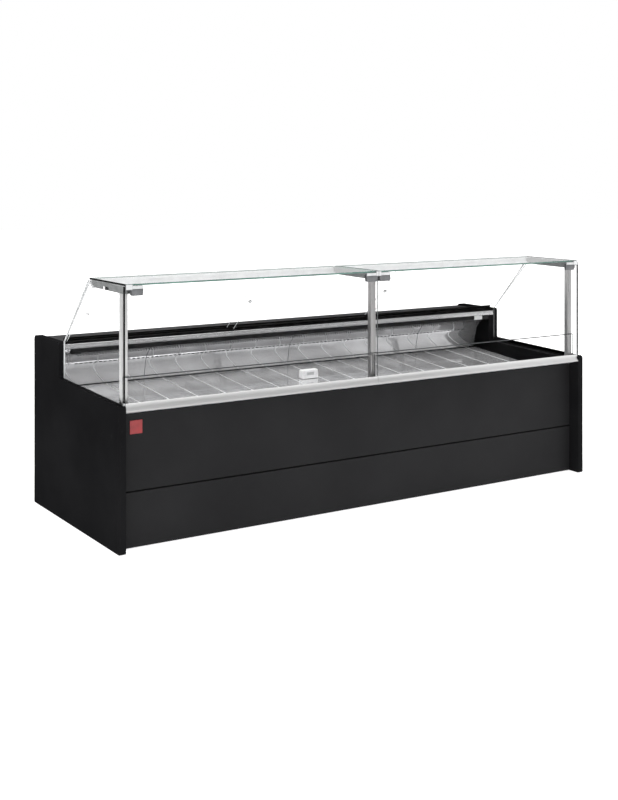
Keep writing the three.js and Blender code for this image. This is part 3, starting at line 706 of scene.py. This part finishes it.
def door_pulls():
    """Small moulded finger pulls on both faces near each door's edge."""
    along = 235
    places = (-1410, -445, 486)
    for (door, lane), x in zip(DOOR_LANES, places):
        def build(bm):
            for face in (-1, 1):
                foot, shoulder, crown = (
                    door_point(x, along, lane * LANE_PITCH + face * 2.6 + face * out)
                    for out in (0, 1.4, 2.2)
                )
                rod(bm, foot, shoulder, 11, sides=24)
                rod(bm, shoulder, crown, 8, 6.5, sides=24)

        piece(f"door_pull_{door}", build, white_plastic, body=f"rear_door_{door}", bevel=0.3)


def door_shoes():
    """A black channel along the bottom edge of each sliding door."""
    for door, lane in DOOR_LANES:
        x0, x1 = span(f"rear_door_{door}")[0]

        def build(bm):
            corners = [door_point(0, DOOR_LENGTH + along, lane * LANE_PITCH + off)[1:]
                       for along, off in ((0.5, -3.4), (0.5, 3.4), (-11, 3.4), (-11, -3.4))]
            prism(bm, corners, x0 - 0.3, x1 + 0.3)

        piece(f"door_shoe_{door}", build, rubber, body=f"rear_door_{door}")


def door_tracks():
    """Fins that keep the three sliding doors apart, under the top track and on the worktop's nose."""
    ends = INSIDE - 3
    nose_top = 901.4
    fin_top = 1255.2
    half_fin = 0.9

    def bottom(bm):
        _, *front = door_point(0, DOOR_LENGTH + 1.5, LANE_FINS[0])
        _, *rear = door_point(0, DOOR_LENGTH + 1.5, LANE_FINS[-1])
        outline = [
            (front[0], max(front[1], nose_top)),
            rear,
            (rear[0] + 4, rear[1] - 3),
            (rear[0] + 4, nose_top),
            (front[0], nose_top - 0.01),
        ]
        prism(bm, outline, -ends, ends)
        for off in LANE_FINS:
            corners = [door_point(0, DOOR_LENGTH + along, off + side * half_fin)[1:]
                       for along, side in ((1.6, -1), (1.6, 1), (-5, 1), (-5, -1))]
            prism(bm, corners, -ends, ends)

    def top(bm):
        for off in LANE_FINS:
            _, back, height = door_point(0, 4, off)
            if 417 < back < 448:
                slab(bm, (-ends, ends), (back - half_fin, back + half_fin), (height, fin_top))

    piece("door_bottom_track", bottom, rubber)
    piece("door_top_fins", top, light_plastic)


# ---------------------------------------------------------------- front


def front_details():
    """The blank badge, the seal in the gap between the front panels, and the trims' end caps."""
    _, (face, _), (low, _) = span("front_panel_upper")
    badge_x = (-END + 88, -END + 153)
    piece("badge_plate", lambda bm: slab(bm, badge_x, (face - 2.2, face - 0.2), (549, 614)), red_enamel,
          bevel=0.9, segments=3)
    gap_low = span("front_panel_lower")[2][1]
    inner = INSIDE - 2
    piece("front_gap_seal",
          lambda bm: slab(bm, (-inner, inner), (face + 9, face + 17), (gap_low + 0.3, low - 0.3)),
          rubber, bevel=0.5)
    for name, side in SIDES:
        x = side * (INSIDE - 0.4)
        _, (b0, b1), (z0, z1) = span(f"front_trim_{name}")
        outline = [
            (b0 + 1.5, z0 + 2),
            (b1 - 3, z0 + 2),
            (b1 - 3, z0 + 20),
            (b0 + 22, z1 - 6),
            (b0 + 12, z1 - 2),
            (b0 + 11, z0 + 20),
        ]
        edge = sorted((x, x - side * 0.9))
        piece(f"trim_end_cap_{name}", lambda bm: prism(bm, outline, *edge), mid_plastic,
              body=f"front_window_{name}")


def rear_screws():
    """Low tapered screw heads along the rear panel and round the machine grille."""
    radius, rise = 5.0, 2.0
    skin = span("rear_panel")[1][1]
    grille = span("machine_grille")[1][1]
    spots = [(x, skin, height) for x in range(-1420, 1421, 355) for height in (448, 864)]
    spots += [(x, grille, height) for x in (448, 945, 1442) for height in (128, 416)]

    def build(bm):
        for x, back, height in spots:
            rod(bm, (x, back, height), (x, back + rise, height), radius, radius * 0.72, sides=16)

    piece("rear_screws", build, steel_screw)


# ---------------------------------------------------------------- rear side


def storage_door_details():
    """The gasket, hinges and pull lining of each storage door."""
    centre = (span("storage_door_left")[0][1] + span("storage_door_right")[0][0]) / 2
    for name, side in SIDES:
        body = f"storage_door_{name}"
        (x0, x1), (face, rear), (low, high) = span(body)
        hinge_x = x0 if side < 0 else x1

        def gasket(bm):
            band = 14
            inset = 34
            a0, a1, c0, c1 = x0 + inset, x1 - inset, low + inset - 4, high - inset + 4
            depth = (face - 2.4, face - 0.1)
            slab(bm, (a0, a1), depth, (c0, c0 + band))
            slab(bm, (a0, a1), depth, (c1 - band, c1))
            slab(bm, (a0, a0 + band), depth, (c0 + band, c1 - band))
            slab(bm, (a1 - band, a1), depth, (c0 + band, c1 - band))

        piece(f"door_gasket_{name}", gasket, rubber, body=body)

        def hinges(bm):
            for height in (low + 34, high - 34):
                rod(bm, (hinge_x, rear, height - 22), (hinge_x, rear, height + 22), 4.2, sides=20)
                leaf = sorted((hinge_x, hinge_x - side * 36))
                slab(bm, leaf, (rear - 0.2, rear + 2), (height - 20, height + 20))

        piece(f"door_hinges_{name}", hinges, galvanised, body=body, bevel=0.4)
        reach = sorted((centre + side * 58, centre + side * 218))

        def pull(bm):
            slab(bm, reach, (rear - 17.5, rear - 14), (high - 21, high - 0.5))
            slab(bm, reach, (rear - 14, rear - 1), (high - 21.5, high - 19))

        piece(f"door_pull_lining_{name}", pull, aluminium_x, body=body, bevel=0.6)


def grille_louvres():
    """Sloping blades behind the slots of the machine grille."""
    (x0, x1), (back, _), _ = span("machine_grille")
    rows, lowest, pitch = 9, 150, 28
    half_blade = 216

    def build(bm):
        for row in range(rows):
            height = lowest + row * pitch
            outline = [
                (back - 9, height + 15),
                (back - 0.4, height - 2),
                (back - 0.4, height - 0.6),
                (back - 8, height + 16.4),
            ]
            for centre in (x0 + (x1 - x0) * 0.27, x0 + (x1 - x0) * 0.73):
                prism(bm, outline, centre - half_blade, centre + half_blade)

    piece("grille_louvres", build, black_panel)


def control_details():
    """The control panel's display, its four keys and the ring round the power button."""
    (x0, _), (_, face), (low, high) = span("control_panel")
    middle = (low + high) / 2
    display = (x0 + 28, x0 + 128)
    piece("control_display",
          lambda bm: slab(bm, display, (face - 0.5, face + 1.6), (middle - 24, middle + 24)),
          display_black, bevel=1.2, segments=3)

    def keys(bm):
        for i in range(4):
            x = x0 + 158 + i * 32
            rod(bm, (x, face - 0.3, middle), (x, face + 2.4, middle), 9, 7.6, sides=28)

    piece("control_keys", keys, mid_plastic, bevel=0.4)
    centre = sum(span("power_button")[0]) / 2
    piece("power_button_ring", lambda bm: torus(bm, (centre, face + 0.4, middle), 13.5, 1.6, 40, 10),
          steel_screw)


# ---------------------------------------------------------------- machine parts


def fan_guard(name, fan, radius, guard_back, hub, look):
    """A wire guard in front of a fan: five rings on four spokes."""
    (x0, x1), _, (z0, z1) = span(fan)
    x, z = (x0 + x1) / 2, (z0 + z1) / 2
    rings, spokes = 5, 4

    def build(bm):
        for i in range(rings):
            torus(bm, (x, guard_back, z), hub + (radius - hub) * i / (rings - 1), 1.3, 40, 6)
        for i in range(spokes):
            turn = math.pi / 4 + i * 2 * math.pi / spokes
            out = (math.cos(turn), math.sin(turn))
            rod(bm, (x + hub * out[0], guard_back, z + hub * out[1]),
                (x + radius * out[0], guard_back, z + radius * out[1]), 1.6, sides=8)

    piece(name, build, look)


def coil_bends(bm, node, side, columns):
    """The U bends at one end of a coil, in columns from its front to its rear."""
    (x0, x1), (b0, b1), (z0, z1) = span(node)
    x = x1 if side > 0 else x0
    pitch = 34
    half_bend = 8.5
    rows = int((z1 - z0 - 20) / pitch)
    for column in range(columns):
        back = b0 + 62 + column * pitch
        if back > b1 - 8:
            break
        for row in range(rows):
            z = z0 + 16 + row * pitch + half_bend
            points = []
            for k in range(9):
                turn = math.pi * k / 8
                points.append((x + side * 9 * math.sin(turn), back, z - half_bend * math.cos(turn)))
            for a, b in zip(points[:-1], points[1:]):
                rod(bm, a, b, 4, sides=8)


def coil_fin_rows(bm, node, backs, pitch):
    """Thin upright fins along the face of a coil."""
    (x0, x1), _, (z0, z1) = span(node)
    for i in range(int((x1 - x0 - 12) / pitch)):
        x = x0 + 6 + (i + 0.5) * pitch
        slab(bm, (x - 0.35, x + 0.35), backs, (z0 + 4, z1 - 4))


def coils():
    """The fan guards, copper bends and fins of the evaporator and the condenser."""
    condenser_rear = (1060.1, 1064)
    evaporator_rear = (640.1, 645)
    front = span("evaporator")[1][0]
    for name in ("left", "right"):
        fan_guard(f"evaporator_guard_{name}", f"evaporator_fan_{name}", 62, front - 2.2, 16,
                  black_plastic)
    shroud = span("condenser")[1][0]
    fan_guard("condenser_guard", "condenser_fan", 134, shroud - 2.6, 30, casting_black)
    piece("evaporator_bends", lambda bm: coil_bends(bm, "evaporator", 1, 5), copper)
    piece("condenser_bends", lambda bm: coil_bends(bm, "condenser", -1, 3), copper)
    piece("condenser_fins", lambda bm: coil_fin_rows(bm, "condenser", condenser_rear, 5.0),
          galvanised)
    piece("evaporator_fins", lambda bm: coil_fin_rows(bm, "evaporator", evaporator_rear, 7.0),
          galvanised)


def compressor_details():
    """The compressor's terminal box, its rubber mounts, and the pipes between it and the condenser."""
    (x0, x1), (b0, b1), (base, _) = span("compressor")
    can_x, can_back = (x0 + x1) / 2, (b0 + b1) / 2

    def terminal_box(bm):
        slab(bm, (can_x - 30, can_x + 30), (can_back + 101, can_back + 128), (base + 120, base + 185))

    def grommets(bm):
        for x in (x0 + 24, x1 - 24):
            for back in (b0 + 24, b1 - 24):
                rod(bm, (x, back, base + 6.2), (x, back, base + 17), 13, 10, sides=20)
                rod(bm, (x, back, base + 17), (x, back, base + 26), 5, sides=6)

    piece("compressor_terminals", terminal_box, black_plastic, bevel=4, segments=3)
    piece("compressor_grommets", grommets, rubber, bevel=0.6)
    coil_low = span("condenser")[2][0]
    discharge = [
        (can_x + 95, can_back, base + 190),
        (can_x + 150, can_back, base + 205),
        (can_x + 205, can_back + 60, base + 230),
        (can_x + 215, can_back + 230, base + 250),
        (can_x + 240, can_back + 290, coil_low + 250),
    ]
    liquid = [
        (can_x + 240, can_back + 290, coil_low + 40),
        (can_x + 190, can_back + 250, coil_low + 60),
        (can_x + 60, can_back + 190, coil_low + 150),
        (can_x - 150, can_back + 170, coil_low + 235),
    ]
    pipe("discharge_pipe", discharge, 4, copper)
    pipe("liquid_pipe", liquid, 4, copper)


def foot_nuts():
    """A lock nut and washer on each levelling foot, under the frame."""
    frame_low = span("base_frame")[2][0]
    for row in ("front", "rear"):
        for where in ("left", "middle", "right"):
            (x0, x1), (b0, b1), _ = span(f"foot_{row}_{where}")
            x, back = (x0 + x1) / 2, (b0 + b1) / 2

            def build(bm):
                rod(bm, (x, back, frame_low - 10.5), (x, back, frame_low - 2.2), 11.5, sides=6)
                rod(bm, (x, back, frame_low - 2), (x, back, frame_low - 0.3), 14, sides=24)

            piece(f"foot_nut_{row}_{where}", build, galvanised, bevel=0.5)


# ---------------------------------------------------------------- studio and camera

# Area lamps: name, place, the point it faces, width, height and power.
LAMPS = (
    ("overhead", (-0.4, -0.6, 4.6), (-0.2, 0, 0.4), 5.0, 3.0, 150),
    ("left_front", (-5.0, -4.5, 3.2), (-0.5, 0, 0.8), 3.0, 3.0, 65),
    ("right_front", (5.0, -4.0, 2.8), (0.6, 0, 0.8), 2.5, 3.0, 14),
    ("rear", (0.5, 5.5, 3.6), (0, 0, 0.6), 5.0, 2.0, 80),
)
# How bright the room is that the metal reflects, from the horizon at 0 to straight up at 1.
ROOM_BANDS = (
    (0.0, 1.0), (0.12, 1.05), (0.2, 0.2), (0.3, 0.8), (0.4, 0.4), (0.52, 1.4), (0.72, 1.4), (1.0, 0.6),
)


def place_camera():
    camera = bpy.data.cameras.new("camera")
    camera.sensor_width = 36
    camera.lens = 55.65
    camera.shift_y = -0.2865
    camera.clip_end = 100
    eye = bpy.data.objects.new("camera", camera)
    eye.location = (-3.870, -5.918, 1.806)
    eye.rotation_euler = (math.radians(90), 0, math.radians(-32.61))
    bpy.context.scene.collection.objects.link(eye)
    bpy.context.scene.camera = eye


def lay_floor():
    """A plain pale floor that also glows a little, so that the ground stays white."""
    bm = bmesh.new()
    bmesh.ops.create_grid(bm, x_segments=8, y_segments=8, size=30)
    mesh = bpy.data.meshes.new("studio_floor")
    bm.to_mesh(mesh)
    bm.free()
    floor = bpy.data.objects.new("studio_floor", mesh)
    floor.location.z = -0.0005
    paper = surface("studio_floor", tone(246, 246, 246), tone(250, 250, 250), (0.8, 0.9), patch=0.5,
                    relief=0.0, specular=0.0)
    shader = paper.node_tree.nodes["Principled BSDF"]
    shader.inputs["Emission Color"].default_value = (1, 1, 1, 1)
    shader.inputs["Emission Strength"].default_value = 0.75
    mesh.materials.append(paper)
    bpy.context.scene.collection.objects.link(floor)


def hang_lamps():
    for name, where, target, wide, tall, power in LAMPS:
        light = bpy.data.lights.new(name, "AREA")
        light.shape = "RECTANGLE"
        light.size = wide
        light.size_y = tall
        light.energy = power
        lamp = bpy.data.objects.new(name, light)
        lamp.location = where
        lamp.rotation_euler = (Vector(target) - Vector(where)).to_track_quat("-Z", "Y").to_euler()
        bpy.context.scene.collection.objects.link(lamp)


def light_room():
    """A white backdrop for the camera, and a banded white room for everything that reflects."""
    world = bpy.data.worlds.new("studio")
    bpy.context.scene.world = world
    world.use_nodes = True
    tree = world.node_tree
    backdrop = tree.nodes["Background"]
    backdrop.inputs["Color"].default_value = (1, 1, 1, 1)
    room = tree.nodes.new("ShaderNodeBackground")
    room.inputs["Strength"].default_value = 1.0
    where = tree.nodes.new("ShaderNodeTexCoord")
    split = tree.nodes.new("ShaderNodeSeparateXYZ")
    ramp = tree.nodes.new("ShaderNodeValToRGB")
    points = ramp.color_ramp.elements
    for point, (position, level) in zip(points, (ROOM_BANDS[0], ROOM_BANDS[-1])):
        point.position = position
        point.color = (level, level, level, 1)
    for position, level in ROOM_BANDS[1:-1]:
        points.new(position).color = (level, level, level, 1)
    tree.links.new(where.outputs["Generated"], split.inputs["Vector"])
    tree.links.new(split.outputs["Z"], ramp.inputs["Fac"])
    tree.links.new(ramp.outputs["Color"], room.inputs["Color"])
    rays = tree.nodes.new("ShaderNodeLightPath")
    mix = tree.nodes.new("ShaderNodeMixShader")
    tree.links.new(rays.outputs["Is Camera Ray"], mix.inputs["Fac"])
    tree.links.new(room.outputs["Background"], mix.inputs[1])
    tree.links.new(backdrop.outputs["Background"], mix.inputs[2])
    tree.links.new(mix.outputs["Shader"], tree.nodes["World Output"].inputs["Surface"])


place_camera()
lay_floor()
hang_lamps()
light_room()
bpy.context.scene.view_settings.view_transform = "Standard"
dress_cad_nodes()
deck_plates()
air_holes()
wall_seams()
lamp_holders()
thermometer()
glass_fittings()
glass_edge_highlights()
middle_post_base()
clip_covers()
door_pulls()
door_shoes()
door_tracks()
front_details()
rear_screws()
storage_door_details()
grille_louvres()
control_details()
coils()
compressor_details()
foot_nuts()
